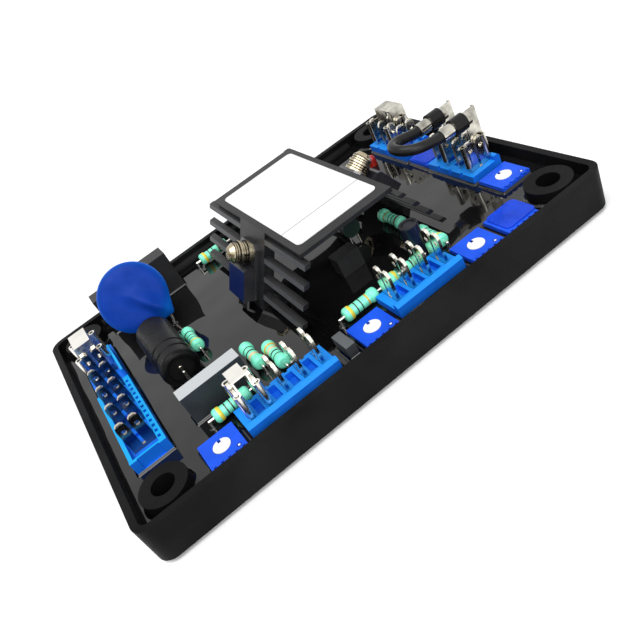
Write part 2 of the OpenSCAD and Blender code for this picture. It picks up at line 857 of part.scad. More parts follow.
module roll(side) {
    difference() {
        cylinder(h = roll_l, r = roll_r + link_t);
        translate([0, 0, -1]) cylinder(h = tab_h, r = roll_r);
        translate([-tab_t / 2 - 0.1, side > 0 ? -roll_r - link_t - 1 : 0, -1])
            cube([tab_t + 0.2, roll_r + link_t + 1, tab_h + 1]);
    }
}

// face is 1 or -1: the side of the tabs that the flat back lies on
module receptacle(face) {
    low = block_top + receptacle_low;
    for (side = [-1, 1]) translate([0, side * roll_y, low]) roll(side);
    translate([face > 0 ? back_x : -back_x - link_t, -roll_y, low])
        cube([link_t, 2 * roll_y, roll_l]);
}

// Link that joins the pairs of tabs first and last; edge is the y of its bridge's near edge
module link(first, last, edge) {
    low = block_top + receptacle_low;
    top = tab_top + bridge_rise;
    translate([first, 0, 0]) receptacle(1);
    translate([last, 0, 0]) receptacle(-1);
    for (x = [first + back_x, last - back_x - link_t])
        translate([x, edge, low]) cube([link_t, bridge_w, top - low]);
    translate([first + back_x, edge, top - link_t]) cube([last - first - 2 * back_x, bridge_w, link_t]);
}

module left_link() {
    color("#e8e4d6") at_block("left") link(
        tab_at(left_block_n - 2, left_block_n, long_pitch),
        tab_at(left_block_n - 1, left_block_n, long_pitch),
        -bridge_w / 2
    );
}

module front_link() {
    color("#e8e4d6") at_block("front_left") translate([0, front_row_shift, 0]) link(
        tab_at(0, front_left_n, tab_pitch),
        tab_at(1, front_left_n, tab_pitch),
        -bridge_w / 2
    );
}

// The rear link steps over one pair of tabs, and its bridge stands out over the rim
module rear_link() {
    color("#e8e4d6") at_block("rear") link(
        tab_at(rear_block_n - 3, rear_block_n, side_pitch),
        tab_at(rear_block_n - 1, rear_block_n, side_pitch),
        -block_w / 2
    );
}

// Jumper lead between the first and third pairs of the right block, in the block's frame

jumper_ends = [0, 2];
barrel_y = -1;
barrel_end_y = barrel_y + barrel_l;
sleeve_y = 0.6;
crimp_bore = 3.2;
kink_y = 0.6;
kink_r = 4;
kink_lap = 0.1;

function jumper_x(i) = tab_at(jumper_ends[i], right_block_n, side_pitch);

module at_jumper_ends() {
    for (i = [0, 1]) translate([jumper_x(i), 0, 0]) children();
}

// The wire leaves the barrels level, then tilts up into its bend; the straight runs lap over the kink
module jumper_wire() {
    span = jumper_x(1) - jumper_x(0);
    color("#1a1a1a") at_block("right") translate([jumper_x(0), barrel_end_y + kink_y, lead_z]) {
        for (x = [0, span]) translate([x, 0, 0]) {
            translate([0, kink_lap, 0]) rotate([90, 0, 0])
                cylinder(h = kink_lap + kink_y + crimp_bore - 0.2, d = wire_d);
            translate([0, 0, kink_r]) rotate([0, 90, 0])
                rotate_extrude(angle = lead_tilt) translate([kink_r, 0]) circle(d = wire_d - 0.04);
        }
        translate([0, 0, kink_r]) rotate([lead_tilt, 0, 0]) translate([0, 0, -kink_r]) {
            for (x = [0, span]) translate([x, -kink_lap, 0]) rotate([-90, 0, 0])
                cylinder(h = kink_lap + lead_straight, d = wire_d);
            translate([span / 2, lead_straight, 0])
                rotate_extrude(angle = 180) translate([span / 2, 0]) circle(d = wire_d);
        }
    }
}

// Flag receptacle: an upright plate with a folded outer edge rises from the tabs to the crimped barrel
module jumper_receptacles() {
    flag_low = block_top + receptacle_low + roll_l / 2;
    flag_h = lead_z + barrel_d / 2 - 0.2 - flag_low;
    fold = 1.1;
    color("#d6cfb4") at_block("right") at_jumper_ends() {
        receptacle(1);
        translate([back_x, -flag_w, tab_top - 1]) cube([link_t, flag_w, flag_low + flag_h - tab_top + 1]);
        translate([back_x, -flag_w, flag_low]) cube([link_t, flag_w - 1, flag_h]);
        translate([back_x, -flag_w, flag_low]) cube([fold, link_t, flag_h]);
        translate([0, barrel_y, lead_z]) rotate([-90, 0, 0]) difference() {
            cylinder(h = barrel_l, d = barrel_d);
            translate([0, 0, barrel_l - crimp_bore]) cylinder(h = crimp_bore + 1, d = wire_d + 0.1);
        }
    }
}

module jumper_sleeves() {
    color("#161616") at_block("right") at_jumper_ends()
        translate([0, sleeve_y, lead_z]) rotate([-90, 0, 0]) difference() {
            cylinder(h = sleeve_l, d = sleeve_d);
            translate([0, 0, -1]) cylinder(h = sleeve_l + 2, d = barrel_d + 0.1);
        }
}

// Trimmers

module trimmer_body(gap) {
    translate([0, 0, board_top - gap])
        standing_box(trimmer_w + 2 * gap, trimmer_w + 2 * gap, trimmer_top - board_top + gap);
}

// Small bites along the front of a trimmer's top
module trimmer_bites() {
    bite_w = 0.7;
    for (i = [-2 : 2])
        translate([i * trimmer_w / 5, -trimmer_w / 2, trimmer_top - 0.5])
            standing_box(bite_w, 0.9, 1);
}

module open_trimmer(i) {
    color("#2459f0") translate(trimmer_places[i]) difference() {
        trimmer_body(0);
        trimmer_bites();
        translate([0, 0, trimmer_top - rotor_h])
            cylinder(h = rotor_h + 1, r = rotor_d / 2 + rotor_gap);
    }
}

module sealed_trimmer(i) {
    color("#2459f0") translate(trimmer_places[i]) difference() {
        trimmer_body(0);
        trimmer_bites();
    }
}

module rotor(i) {
    slot_w = 0.8;
    slot_d = 0.5;
    color("white") translate(trimmer_places[i]) translate([0, 0, trimmer_top - rotor_h]) difference() {
        cylinder(h = rotor_h + 0.1, d = rotor_d);
        translate([-slot_w / 2, rotor_d / 2 - 1, rotor_h + 0.1 - slot_d]) cube([slot_w, 2, 1]);
    }
}

module volt_trimmer() {
    open_trimmer(0);
}

module stability_trimmer() {
    open_trimmer(1);
}

module droop_trimmer() {
    open_trimmer(2);
}

module trim_trimmer() {
    open_trimmer(3);
}

module sealed_front_trimmer() {
    sealed_trimmer(4);
}

module sealed_rear_trimmer() {
    sealed_trimmer(5);
}

module volt_rotor() {
    rotor(0);
}

module stability_rotor() {
    rotor(1);
}

module droop_rotor() {
    rotor(2);
}

module trim_rotor() {
    rotor(3);
}

// Lacquer over the two sealed trimmers; on the front one it runs over the right and back edges
module trimmer_seals() {
    seal_t = 0.3;
    run = 0.7;
    color("#1f49e0") translate([0, 0, trimmer_top]) {
        translate(trimmer_places[open_trimmers]) translate([run, run, 0])
            linear_extrude(seal_t) rounded_rect(trimmer_w - 0.2, trimmer_w - 0.8, 1.4);
        translate(trimmer_places[open_trimmers + 1]) translate([0, 0.4, 0])
            linear_extrude(seal_t) rounded_rect(trimmer_w - 0.4, trimmer_w - 1.4, 1);
    }
}

// Box-shaped parts

module box_capacitor(l, w, h, gap) {
    translate([0, 0, board_top - gap])
        standing_box(l + 2 * gap, w + 2 * gap, resin_top - board_top + h + gap);
}

module tall_film_capacitor() {
    color("#232327") translate(tall_cap_place) box_capacitor(tall_cap_l, tall_cap_d, tall_cap_h, 0);
}

module low_film_capacitor() {
    color("#5b656d") translate(low_cap_place) box_capacitor(low_cap_l, low_cap_d, low_cap_h, 0);
}

module small_box_capacitor() {
    color("#6d767c") translate(small_cap_place)
        box_capacitor(small_cap_size.x, small_cap_size.y, small_cap_size.z, 0);
}

module rectifier() {
    color("#1b1b1e") translate(rectifier_place)
        box_capacitor(rectifier_size.x, rectifier_size.y, rectifier_size.z, 0);
}

// Round parts

// Axial capacitor just above the resin, its ends sunk inside a shrunk sleeve, on two bent leads
axial_lead_y = axial_l / 2 + axial_foot;

module axial_leads(gap) {
    for (side = [-1, 1]) translate([axial_place.x, axial_place.y + side * axial_lead_y, board_top])
        cylinder(h = axial_z - board_top, d = lead_d + 2 * gap);
}

module axial_capacitor() {
    color("#1e1e20") {
        translate([axial_place.x, axial_place.y, axial_z]) rotate([90, 0, 0]) {
            difference() {
                rounded_rod(axial_l, axial_d, 1.4);
                for (side = [-1, 1]) translate([0, 0, side * axial_l / 2])
                    cylinder(h = 2 * axial_lip, d = axial_d * 0.68, center = true);
                for (z = axial_grooves) translate([0, 0, axial_l / 2 - z])
                    rotate_extrude() translate([axial_d / 2 + 0.3, 0]) circle(0.6);
            }
            cylinder(h = 2 * axial_lead_y, d = lead_d, center = true);
            for (side = [-1, 1]) translate([0, 0, side * axial_lead_y]) sphere(d = lead_d);
        }
        axial_leads(0);
    }
}

// Varistor: a coated disc that leans back, with a ridge over the lead that runs under its coating
module at_varistor() {
    translate([varistor_place.x, varistor_place.y, varistor_z])
        rotate([0, 0, varistor_turn])
        rotate([-varistor_lean, 0, 0])
        rotate([90, 0, 0])
        children();
}

// The leads leave the disc at these turns below its level, just inside its edge
varistor_lead_turns = [50, 100];
varistor_lead_r = varistor_d / 2 - 1;
varistor_tip = varistor_d * 0.61;

module varistor_leads(gap) {
    for (turn = varistor_lead_turns) {
        drop = varistor_lead_r * sin(turn);
        translate([varistor_place.x, varistor_place.y, board_top])
            rotate([0, 0, varistor_turn])
            translate([varistor_lead_r * cos(turn), -drop * sin(varistor_lean), 0])
            cylinder(h = varistor_z - drop * cos(varistor_lean) - board_top, d = lead_d + 2 * gap);
    }
}

// The tail's sides touch the disc's edge and run on to a blunt tip
module varistor_tail() {
    r = varistor_d / 2 - varistor_t * 0.12;
    spread = acos(r / varistor_tip);
    tip_w = varistor_t * 0.2;
    translate([0, 0, -varistor_t * 0.32]) linear_extrude(varistor_t * 0.64) polygon([
        [0, 0],
        [r * cos(spread), -r * sin(spread)],
        [varistor_tip - 1, -tip_w],
        [varistor_tip - 1, tip_w],
        [r * cos(spread), r * sin(spread)]
    ]);
}

module varistor() {
    flat_r = varistor_d / 2 - varistor_t / 2;
    ridge_start = varistor_d * 0.1;
    ridge_r = varistor_t * 0.46;
    ridge_l = varistor_tip - ridge_start;
    color("#1238c8") {
        at_varistor() {
            rotate_extrude() {
                translate([0, -varistor_t / 2]) square([flat_r, varistor_t]);
                translate([flat_r, 0]) intersection() {
                    circle(d = varistor_t);
                    translate([0, -varistor_t]) square(2 * varistor_t);
                }
            }
            rotate([0, 0, -varistor_lead_turns[0]]) {
                varistor_tail();
                translate([ridge_start, 0, varistor_t * 0.2]) {
                    sphere(r = ridge_r);
                    rotate([0, 90, 0]) cylinder(h = ridge_l, r1 = ridge_r, r2 = ridge_r * 0.5);
                }
            }
        }
        varistor_leads(0);
    }
}

// Resistor with a dumb-bell body and two legs down to the board
mint = "#8fe8cf";
resistor_axis_z = resin_top + resistor_rise;
resistor_leg = resistor_l / 2 + resistor_foot;

module at_resistor(place) {
    translate([place[0], place[1], 0]) rotate([0, 0, place[2]]) children();
}

module resistor_legs(gap) {
    for (side = [-1, 1]) translate([side * resistor_leg, 0, board_top])
        cylinder(h = resistor_axis_z - board_top, d = lead_d + 2 * gap);
}

module resistor(place) {
    swell_r = 0.9;
    color(mint) at_resistor(place) {
        translate([0, 0, resistor_axis_z]) rotate([0, 90, 0]) {
            cylinder(h = resistor_l - resistor_end_l, d = resistor_d, center = true);
            for (side = [-1, 1]) translate([0, 0, side * (resistor_l - resistor_end_l) / 2])
                rounded_rod(resistor_end_l, resistor_end_d, swell_r);
            cylinder(h = 2 * resistor_leg, d = lead_d, center = true);
            for (side = [-1, 1]) translate([0, 0, side * resistor_leg]) sphere(d = lead_d);
        }
        resistor_legs(0);
    }
}

module left_resistor() {
    resistor(resistor_places[0]);
}

module middle_resistor_a() {
    resistor(resistor_places[1]);
}

module middle_resistor_b() {
    resistor(resistor_places[2]);
}

module front_resistor_a() {
    resistor(resistor_places[3]);
}

module front_resistor_b() {
    resistor(resistor_places[4]);
}

module right_resistor_a() {
    resistor(resistor_places[5]);
}

module right_resistor_b() {
    resistor(resistor_places[6]);
}

module rear_resistor() {
    resistor(resistor_places[7]);
}

module front_resistor_c() {
    resistor(resistor_places[8]);
}

// Small electrolytic capacitor, upright, with a crimped neck
module electrolytic_body(gap) {
    translate([0, 0, board_top - gap])
        cylinder(h = resin_top - board_top + electrolytic_h + gap, d = electrolytic_d + 2 * gap);
}

module electrolytic_capacitor() {
    color("#20222e") translate(electrolytic_place) difference() {
        electrolytic_body(0);
        translate([0, 0, resin_top + electrolytic_h - 0.3])
            cylinder(h = 1, d = electrolytic_d * 0.72);
    }
}

// Disc capacitor standing on two leads
module disc_leads(gap) {
    for (side = [-1, 1])
        translate([disc_place.x + side * 1.3, disc_place.y, board_top])
            cylinder(h = resin_top + 3 - board_top, d = 0.6 + 2 * gap);
}

module disc_capacitor() {
    color("#2f5a48") {
        translate([disc_place.x, disc_place.y, resin_top + 1.8 + disc_d / 2]) rotate([90, 0, 0])
            cylinder(h = 2.4, d = disc_d, center = true);
        disc_leads(0);
    }
}

// Indicator lamp with a domed top
module lamp_body(gap) {
    translate([0, 0, board_top - gap])
        cylinder(h = resin_top - board_top + 2 + gap, d = lamp_d + 2 * gap);
}

module indicator_lamp() {
    color("#c0241c") translate(lamp_place) {
        lamp_body(0);
        translate([0, 0, resin_top + 2]) sphere(d = lamp_d);
    }
}

tray();
potting_resin();
circuit_board();
heat_sink();
heat_sink_label();
left_power_device();
right_power_device();
device_screws();
spring_washers();
flat_washers();
device_nuts();
left_terminal_block();
left_terminal_tabs();
front_left_terminal_block();
front_left_terminal_tabs();
front_right_terminal_block();
front_right_terminal_tabs();
right_terminal_block();
right_terminal_tabs();
rear_terminal_block();
rear_terminal_tabs();
left_link();
front_link();
rear_link();
jumper_wire();
jumper_receptacles();
jumper_sleeves();
volt_trimmer();
stability_trimmer();
droop_trimmer();
trim_trimmer();
sealed_front_trimmer();
sealed_rear_trimmer();
volt_rotor();
stability_rotor();
droop_rotor();
trim_rotor();
trimmer_seals();
varistor();
tall_film_capacitor();
low_film_capacitor();
small_box_capacitor();
axial_capacitor();
electrolytic_capacitor();
disc_capacitor();
rectifier();
indicator_lamp();
left_resistor();
middle_resistor_a();
middle_resistor_b();
front_resistor_a();
front_resistor_b();
front_resistor_c();
right_resistor_a();
right_resistor_b();
rear_resistor();
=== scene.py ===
"""Looks of the potted voltage regulator: materials, dipped and painted details, studio and camera."""

import math

import bmesh
import bpy
from mathutils import Matrix, Vector


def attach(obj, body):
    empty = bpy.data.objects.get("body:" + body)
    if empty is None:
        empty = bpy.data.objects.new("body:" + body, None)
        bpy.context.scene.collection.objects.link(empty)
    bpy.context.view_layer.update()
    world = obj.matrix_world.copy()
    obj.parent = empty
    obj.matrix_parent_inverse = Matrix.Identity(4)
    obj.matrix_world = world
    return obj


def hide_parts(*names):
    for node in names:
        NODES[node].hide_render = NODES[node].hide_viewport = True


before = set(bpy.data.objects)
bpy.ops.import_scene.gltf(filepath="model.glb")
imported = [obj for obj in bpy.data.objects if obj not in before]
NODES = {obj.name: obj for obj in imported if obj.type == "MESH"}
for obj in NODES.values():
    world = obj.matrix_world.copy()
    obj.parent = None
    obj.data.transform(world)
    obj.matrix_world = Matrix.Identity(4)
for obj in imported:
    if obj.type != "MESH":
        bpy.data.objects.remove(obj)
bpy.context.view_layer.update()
BODY = "regulator"
MM = 0.001
X, Y, Z = (1, 0, 0), (0, 1, 0), (0, 0, 1)


def span(name):
    """Lowest and highest corner of a node's solid, in millimetres."""
    points = [v.co / MM for v in NODES[name].data.vertices]
    return [Vector([pick(p[i] for p in points) for i in range(3)]) for pick in (min, max)]


def middle(name):
    low, high = span(name)
    return (low + high) / 2


# Levels and places of the solids that the looks refer to, in millimetres
RESIN_TOP = span("potting_resin")[1].z
BOARD_TOP = span("circuit_board")[1].z
SINK_TOP = span("heat_sink")[1].z
SINK = middle("heat_sink_label")
PLATE_HALF = 14.2
COMB_LEAN = math.radians(31)
SPINE_HALF = 8.0
VARISTOR_POSE = (
    Matrix.Translation((-38.3, 25.0, 20.5))
    @ Matrix.Rotation(math.radians(-12), 4, "Z")
    @ Matrix.Rotation(math.radians(56), 4, "X")
)
VARISTOR_R = 10.3
AXIAL_LOW, AXIAL_HIGH = span("axial_capacitor")
AXIAL_R = (AXIAL_HIGH.x - AXIAL_LOW.x) / 2
AXIAL = Vector((*middle("axial_capacitor").xy, AXIAL_HIGH.z - AXIAL_R))


def comb_frame(side):
    """Edge of the plate on one side, with the directions out of and up its leaning comb."""
    edge = (SINK.x + side * PLATE_HALF, SINK.y, SINK_TOP)
    out = (side * math.cos(COMB_LEAN), 0, math.sin(COMB_LEAN))
    up = (-side * math.sin(COMB_LEAN), 0, math.cos(COMB_LEAN))
    return edge, out, up


# Node helpers


def add(tree, kind, **values):
    node = tree.nodes.new(kind)
    for key, value in values.items():
        setattr(node, key, value)
    return node


def feed(tree, socket, value):
    """Links an output to a socket, or sets the socket to a number or a tuple."""
    if isinstance(value, bpy.types.NodeSocket):
        tree.links.new(value, socket)
    else:
        socket.default_value = value


def noise(tree, vector, scale, detail):
    node = add(tree, "ShaderNodeTexNoise")
    feed(tree, node.inputs["Vector"], vector)
    node.inputs["Scale"].default_value = scale
    node.inputs["Detail"].default_value = detail
    return node.outputs["Fac"]


def calc(tree, operation, a, b=0.0):
    node = add(tree, "ShaderNodeMath", operation=operation)
    feed(tree, node.inputs[0], a)
    feed(tree, node.inputs[1], b)
    return node.outputs[0]


def along(tree, vector, direction, start=(0, 0, 0)):
    """Distance in millimetres along a direction, measured from a point given in millimetres."""
    shift = add(tree, "ShaderNodeVectorMath", operation="SUBTRACT")
    feed(tree, shift.inputs[0], vector)
    shift.inputs[1].default_value = [v * MM for v in start]
    dot = add(tree, "ShaderNodeVectorMath", operation="DOT_PRODUCT")
    feed(tree, dot.inputs[0], shift.outputs[0])
    dot.inputs[1].default_value = [v / MM for v in direction]
    return dot.outputs["Value"]


def away(tree, vector, point):
    """Distance in millimetres from a point given in millimetres."""
    node = add(tree, "ShaderNodeVectorMath", operation="DISTANCE")
    feed(tree, node.inputs[0], vector)
    node.inputs[1].default_value = [v * MM for v in point]
    return calc(tree, "MULTIPLY", node.outputs["Value"], 1 / MM)


def facing(tree, direction):
    """How squarely the surface faces a direction: 1 when it does, -1 when it faces away."""
    dot = add(tree, "ShaderNodeVectorMath", operation="DOT_PRODUCT")
    feed(tree, dot.inputs[0], add(tree, "ShaderNodeNewGeometry").outputs["Normal"])
    dot.inputs[1].default_value = direction
    return dot.outputs["Value"]


def over(tree, value, limit):
    return calc(tree, "GREATER_THAN", value, limit)


def under(tree, value, limit):
    return calc(tree, "LESS_THAN", value, limit)


def both(tree, a, b):
    return calc(tree, "MULTIPLY", a, b)


def either(tree, a, b):
    return calc(tree, "MAXIMUM", a, b)


def between(tree, value, low, high):
    return both(tree, over(tree, value, low), under(tree, value, high))


# Range in which most values of a noise lie
NOISE_LOW, NOISE_HIGH = 0.3, 0.7


def spread(tree, value, low, high):
    """Noise value spread between two numbers."""
    node = add(tree, "ShaderNodeMapRange")
    feed(tree, node.inputs["Value"], value)
    node.inputs["From Min"].default_value = NOISE_LOW
    node.inputs["From Max"].default_value = NOISE_HIGH
    node.inputs["To Min"].default_value = low
    node.inputs["To Max"].default_value = high
    return node.outputs["Result"]


def blend(tree, factor, a, b):
    """Mix of two colours."""
    node = add(tree, "ShaderNodeMix", data_type="RGBA")
    feed(tree, node.inputs[0], factor)
    feed(tree, node.inputs[6], a if isinstance(a, bpy.types.NodeSocket) else (*a, 1))
    feed(tree, node.inputs[7], b if isinstance(b, bpy.types.NodeSocket) else (*b, 1))
    return node.outputs[2]


def blend_number(tree, factor, a, b):
    node = add(tree, "ShaderNodeMix", data_type="FLOAT")
    feed(tree, node.inputs[0], factor)
    feed(tree, node.inputs[2], a)
    feed(tree, node.inputs[3], b)
    return node.outputs[0]


def steps(tree, factor, stops):
    """Colours by position: each stop is (position, colour), held until the next."""
    node = add(tree, "ShaderNodeValToRGB")
    node.color_ramp.interpolation = "CONSTANT"
    ramp = node.color_ramp.elements
    while len(ramp) < len(stops):
        ramp.new(0.5)
    for element, (position, color) in zip(ramp, stops):
        element.position = position
        element.color = (*color, 1)
    feed(tree, node.inputs["Fac"], factor)
    return node.outputs["Color"]


class Look:
    """A principled material whose colour, roughness and relief vary at a given grain."""

    FINE_DETAIL, BROAD_DETAIL = 4, 2
    LIGHT_LIFT = 0.004
    ROUGH_LOW, ROUGH_HIGH = 0.8, 1.25
    BUMP_DISTANCE = 0.00012

    def __init__(
        self, name, color, rough, metal=0.0, grain=1400, relief=0.15, tint=0.14, broad=160, shine=0.5
    ):
        self.material = bpy.data.materials.new(name)
        self.material.use_nodes = True
        self.tree = tree = self.material.node_tree
        self.shader = tree.nodes["Principled BSDF"]
        self.place = add(tree, "ShaderNodeTexCoord").outputs["Object"]
        fine = noise(tree, self.place, grain, self.FINE_DETAIL)
        wide = spread(tree, noise(tree, self.place, broad, self.BROAD_DETAIL), 0.0, 1.0)
        dark = tuple(c * (1 - tint) for c in color)
        light = tuple(min(1.0, c * (1 + tint) + self.LIGHT_LIFT) for c in color)
        self.color = blend(tree, wide, dark, light)
        self.rough = spread(tree, fine, rough * self.ROUGH_LOW, min(1.0, rough * self.ROUGH_HIGH))
        self.metal = metal
        self.relief = relief
        self.bump_height = fine
        self.bump_distance = self.BUMP_DISTANCE
        self.shader.inputs["Specular IOR Level"].default_value = shine

    def height(self):
        """Height above the tray's underside, in millimetres."""
        return along(self.tree, self.place, Z)

    def paint(self, mask, color, rough=None, metal=None):
        """Another finish where the mask is 1."""
        tree = self.tree
        self.color = blend(tree, mask, self.color, color)
        if rough is not None:
            self.rough = blend_number(tree, mask, self.rough, rough)
        if metal is not None:
            self.metal = blend_number(tree, mask, self.metal, metal)

    def done(self):
        tree, shader = self.tree, self.shader
        feed(tree, shader.inputs["Base Color"], self.color)
        feed(tree, shader.inputs["Roughness"], self.rough)
        feed(tree, shader.inputs["Metallic"], self.metal)
        bump = add(tree, "ShaderNodeBump")
        bump.inputs["Strength"].default_value = self.relief
        bump.inputs["Distance"].default_value = self.bump_distance
        feed(tree, bump.inputs["Height"], self.bump_height)
        tree.links.new(bump.outputs["Normal"], shader.inputs["Normal"])
        return self.material


def dress(names, material):
    for name in [names] if isinstance(names, str) else names:
        data = NODES[name].data
        data.materials.clear()
        data.materials.append(material)


METAL = (0.78, 0.75, 0.68)

# Tray, resin and board

tray = Look(
    "tray_plastic",
    (0.0035, 0.0035, 0.0039),
    0.5,
    grain=2600,
    relief=0.35,
    tint=0.3,
    broad=60,
    shine=0.07,
)
dress("tray", tray.done())

resin = Look("resin_gloss", (0.002, 0.002, 0.0023), 0.03, grain=70, relief=0.5, tint=0.4, broad=40)
resin.bump_height = noise(resin.tree, resin.place, scale=95, detail=0.6)
resin.bump_distance = 0.0007
RESIN = resin.done()
dress("potting_resin", RESIN)

board = Look("board_laminate", (0.03, 0.10, 0.05), 0.5, grain=3000)
dress("circuit_board", board.done())

# Heat sink: black anodised, bare where the combs are sawn along their lean

SAWN_FACING = 0.97
SAW_STRETCH = (1, 0.06, 1)
BARE_DARK, BARE_LIGHT = (0.045, 0.046, 0.048), (0.075, 0.077, 0.08)

sink = Look("anodised_black", (0.007, 0.007, 0.008), 0.36, grain=2200, relief=0.2, tint=0.25, shine=0.24)
tree = sink.tree
sloped = [over(tree, facing(tree, comb_frame(side)[1]), SAWN_FACING) for side in (-1, 1)]
off_spine = over(tree, calc(tree, "ABSOLUTE", along(tree, sink.place, Y, SINK)), SPINE_HALF)
sawn = both(tree, either(tree, *sloped), off_spine)
streaks = add(tree, "ShaderNodeMapping")
feed(tree, streaks.inputs["Vector"], sink.place)
streaks.inputs["Scale"].default_value = SAW_STRETCH
saw_grain = noise(tree, streaks.outputs[0], scale=5200, detail=3)
bare = blend(tree, spread(tree, saw_grain, 0, 1), BARE_DARK, BARE_LIGHT)
sink.paint(sawn, bare, rough=0.42)
dress("heat_sink", sink.done())

# Label: white film with one plain rule across it

RULE_FRONT, RULE_BACK = -10.4, -10.1

label = Look("label_film", (0.80, 0.80, 0.81), 0.3, grain=3200, relief=0.05, tint=0.02)
rule = between(label.tree, along(label.tree, label.place, Y), RULE_FRONT, RULE_BACK)
label.paint(rule, (0.25, 0.25, 0.26))
dress("heat_sink_label", label.done())

# Power devices: metal tab and legs, black body, blue front face, told apart by their place on the comb

DEVICE_FACE = 4.42
DEVICE_TAB = 1.31
DEVICE_LEGS = -19.8

for side, name in ((-1, "left_power_device"), (1, "right_power_device")):
    edge, out, up = comb_frame(side)
    device = Look("device_" + name.split("_")[0], (0.012, 0.012, 0.016), 0.32, grain=2600, relief=0.3)
    tree = device.tree
    depth = along(tree, device.place, out, edge)
    slope = along(tree, device.place, up, edge)
    device.paint(over(tree, depth, DEVICE_FACE), (0.002, 0.010, 0.068), rough=0.3)
    tab_or_leg = either(tree, under(tree, depth, DEVICE_TAB), under(tree, slope, DEVICE_LEGS))
    device.paint(tab_or_leg, (0.16, 0.16, 0.165), rough=0.32, metal=1.0)
    dress(name, device.done())

# Screws and washers: plated, with painted shade in the joints between them

STACK_JOINTS = (2.1, 2.8, 3.5, 4.3, 4.95, 5.6)
JOINT_HALF = 0.13

plated = Look("plated_steel", (0.50, 0.43, 0.30), 0.28, metal=1.0, grain=2400, relief=0.1)
tree = plated.tree
lifts = []
for side in (-1, 1):
    edge, out, _ = comb_frame(side)
    lifts.append(along(tree, plated.place, out, edge))
on_right = over(tree, along(tree, plated.place, X, SINK), 0.0)
lift = blend_number(tree, on_right, *lifts)
for joint in STACK_JOINTS:
    # Painted shade: each joint between the stacked pieces is painted near black
    gap_shade = between(tree, lift, joint - JOINT_HALF, joint + JOINT_HALF)
    plated.paint(gap_shade, (0.02, 0.017, 0.012), rough=0.5)
dress(["device_screws", "flat_washers", "spring_washers", "device_nuts"], plated.done())

# Terminals: blocks with a painted highlight on their tops, tinned tabs with a painted highlight at their
# tips; the left block's tabs are painted darker as painted shade

UPWARD = 0.5
BLOCK_TOP = RESIN_TOP + 2.0
TAB_TIP = span("front_right_terminal_tabs")[1].z - 0.5

for name in [n for n in NODES if n.endswith("terminal_block")]:
    lit_top_blue = (0.006, 0.36, 0.80) if name == "left_terminal_block" else (0.012, 0.25, 0.82)
    block = Look(
        "plastic_" + name, (0.007, 0.155, 0.76), 0.36, grain=1800, relief=0.2, tint=0.12, shine=0.12
    )
    tree = block.tree
    raised = over(tree, block.height(), BLOCK_TOP)
    # Painted highlight: the upward faces of the raised part get a lighter blue, as where light falls
    # from above
    block.paint(both(tree, over(tree, facing(tree, Z), UPWARD), raised), lit_top_blue)
    dress(name, block.done())

for name in [n for n in NODES if n.endswith("terminal_tabs")]:
    # The left block's tabs are painted darker all over: painted shade
    shaded_tabs = name == "left_terminal_tabs"
    tab_tone_and_shade = (0.24, 0.235, 0.22) if shaded_tabs else (0.70, 0.68, 0.61)
    tip_highlight = (0.60, 0.54, 0.43) if shaded_tabs else (0.88, 0.84, 0.74)
    tinned = Look("tinned_" + name, tab_tone_and_shade, 0.16, metal=1.0, grain=900, relief=0.1, tint=0.12)
    # Painted highlight: a lighter band at the top of each tab
    tinned.paint(over(tinned.tree, tinned.height(), TAB_TIP), tip_highlight, rough=0.3)
    dress(name, tinned.done())

# Broad darker and lighter patches in the metal colour are a painted reflection, standing in for uneven
# sheen
sheen_links = Look(
    "sheen_patched_links",
    (0.50, 0.48, 0.42),
    0.17,
    metal=1.0,
    grain=900,
    relief=0.1,
    tint=0.42,
    broad=330,
)
dress(["rear_link", "jumper_receptacles"], sheen_links.done())
cream = Look("cream_links", (0.92, 0.90, 0.84), 0.22, metal=1.0, grain=900, relief=0.1, tint=0.06)
dress(["left_link", "front_link"], cream.done())

wire = Look("wire_insulation", (0.004, 0.004, 0.004), 0.36, grain=1800, tint=0.2, shine=0.25)
dress("jumper_wire", wire.done())
sleeve = Look("sleeve_plastic", (0.003, 0.003, 0.003), 0.3, grain=1500, tint=0.2, shine=0.2)
dress("jumper_sleeves", sleeve.done())

# Trimmers: a pale dot in a dark ring near one corner, rotors painted dark below their top as painted
# shade in the notch, lacquer seals

DOT_SHIFT = Vector((3.1, -3.4, 0))
DOT_RING_R, DOT_R = 0.56, 0.31
NOTCH_TOP = span("volt_rotor")[1].z - 0.15

trimmer = Look(
    "trimmer_plastic", (0.010, 0.085, 0.70), 0.34, grain=2000, relief=0.2, tint=0.1, shine=0.12
)
tree = trimmer.tree
for name in ("volt_trimmer", "stability_trimmer", "droop_trimmer", "trim_trimmer"):
    dot_place = middle(name) + DOT_SHIFT
    dot_place.z = span(name)[1].z
    from_dot = away(tree, trimmer.place, dot_place)
    trimmer.paint(under(tree, from_dot, DOT_RING_R), (0.004, 0.02, 0.30))
    trimmer.paint(under(tree, from_dot, DOT_R), (0.75, 0.80, 0.82))
dress([n for n in NODES if n.endswith("_trimmer")], trimmer.done())

rotor = Look("rotor_plastic", (0.80, 0.80, 0.785), 0.42, grain=2600, tint=0.04, shine=0.3)
# Painted shade: the rotor is painted dark blue below its top face, so the notch reads dark
rotor.paint(under(rotor.tree, rotor.height(), NOTCH_TOP), (0.008, 0.03, 0.24))
dress([n for n in NODES if n.endswith("_rotor")], rotor.done())

lacquer = Look("blue_lacquer", (0.004, 0.05, 0.56), 0.14, grain=420, relief=0.5, tint=0.16, shine=0.12)
lacquer.bump_distance = 0.0004
dress("trimmer_seals", lacquer.done())

# Varistor: blue coating, with a painted highlight where it rounds over at the rim

RIM_HIGHLIGHT_POWER = 8.0
RIM_HIGHLIGHT_GAIN = 1.4

